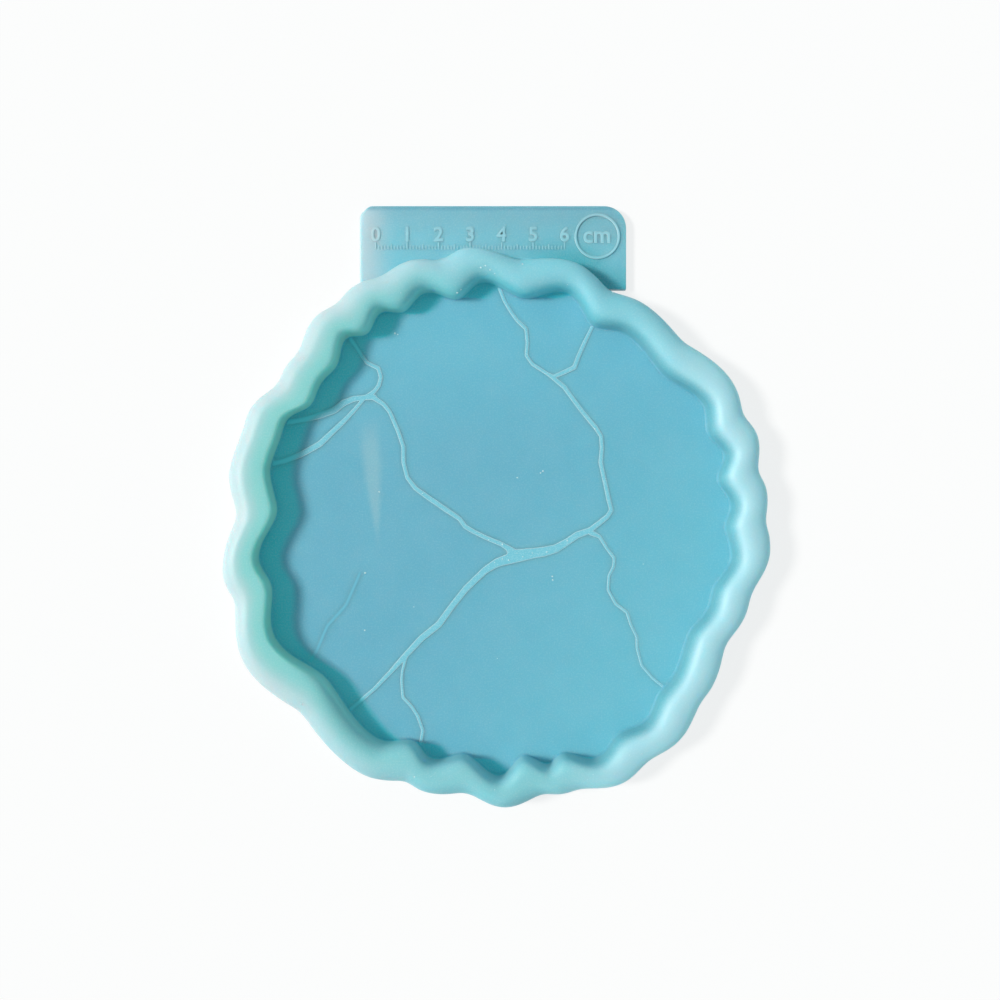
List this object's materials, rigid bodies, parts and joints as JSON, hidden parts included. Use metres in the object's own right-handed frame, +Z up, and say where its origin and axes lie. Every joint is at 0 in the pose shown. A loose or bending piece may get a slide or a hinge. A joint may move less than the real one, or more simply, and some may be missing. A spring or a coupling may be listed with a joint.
{
  "type": "resin casting mould",
  "caption": "Shallow round silicone casting mould with a wavy rolled rim, raised crack lines across its floor and a flat label tab at the back.",
  "frame": {"origin": "middle of the casting space, on the flat underside", "axes": "+Z up, out of the open casting space; +Y towards the label tab; +X to the right with the tab at the back"},
  "size_m": [0.1713, 0.1895, 0.013],
  "materials": {
    "silicone": "satin, translucent",
    "silicone_matte": "matte, speckled"
  },
  "bodies": {
    "root": {"base_slab": "silicone", "side_wall": "silicone", "rim_roll": "silicone", "label_tab": "silicone", "tab_ring": "silicone", "ridge_centre": "silicone_matte", "ridge_trunk": "silicone_matte", "ridge_north": "silicone_matte", "ridge_north_east": "silicone_matte", "ridge_south_east": "silicone_matte", "ridge_south_west": "silicone_matte", "ridge_south": "silicone_matte", "ridge_fork": "silicone_matte", "ridge_west": "silicone_matte", "ridge_north_west": "silicone_matte", "ridge_lower_fork": "silicone_matte"}
  },
  "joints": []
}
